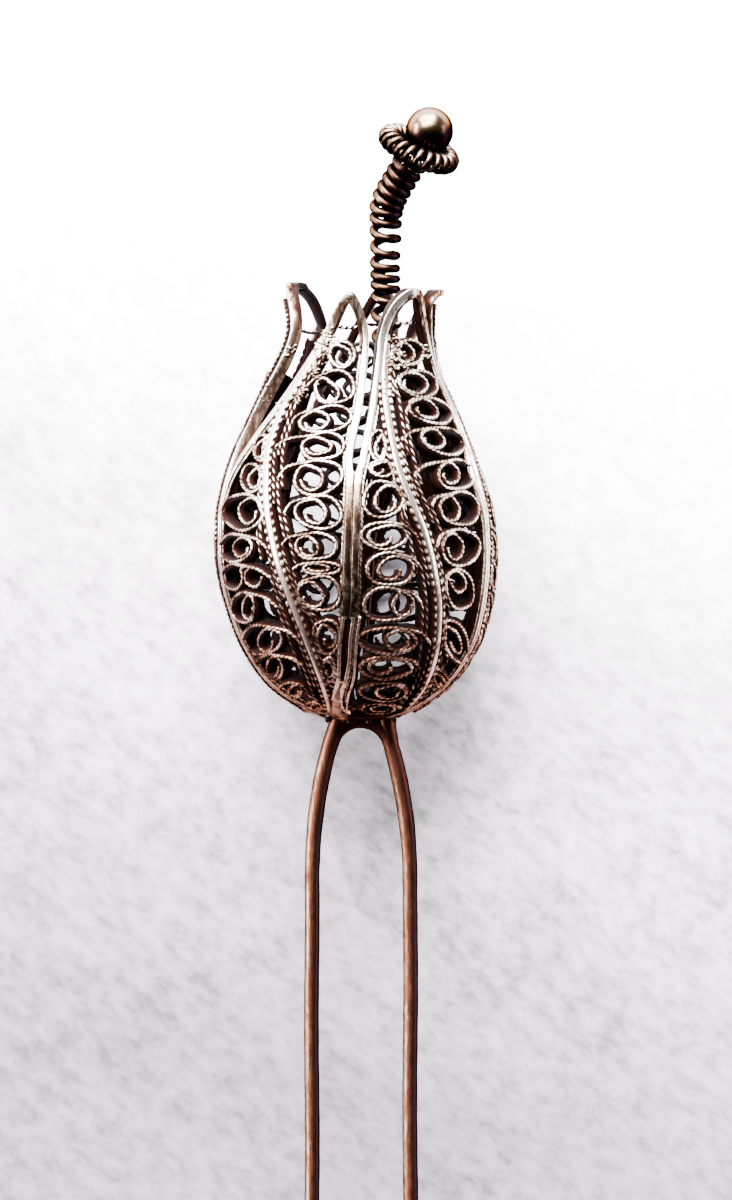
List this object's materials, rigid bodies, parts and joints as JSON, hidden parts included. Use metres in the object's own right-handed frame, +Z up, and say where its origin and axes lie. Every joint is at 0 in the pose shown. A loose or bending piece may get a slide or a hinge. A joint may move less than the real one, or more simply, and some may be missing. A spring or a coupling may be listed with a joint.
{
  "type": "hairpin",
  "caption": "Two-pronged hairpin with an openwork tulip bud, and a ball on a bent coil spring that rises from the bud.",
  "frame": {"origin": "on the surface that the pin lies on, below the middle of its box", "axes": "+Y along the pin from the tips to the ball, +X to the right of the front, +Z up; the front of the bud faces +Z"},
  "size_m": [0.0232, 0.1296, 0.0238],
  "materials": {
    "petal_silver": "aged silver, dark in the recesses and bright on the raised wires",
    "pin_wire": "worn copper-brown wire with a soft shine",
    "spring_wire": "antique brown wire",
    "ball_metal": "antique, polished by wear"
  },
  "bodies": {
    "root": {"pin_fork": "pin_wire", "petal_left": "petal_silver", "petal_front_left": "petal_silver", "petal_front_right": "petal_silver", "petal_right": "petal_silver", "petal_back": "petal_silver", "stem_spring": "spring_wire", "coil_collar": "spring_wire", "ball": "ball_metal"}
  },
  "joints": []
}
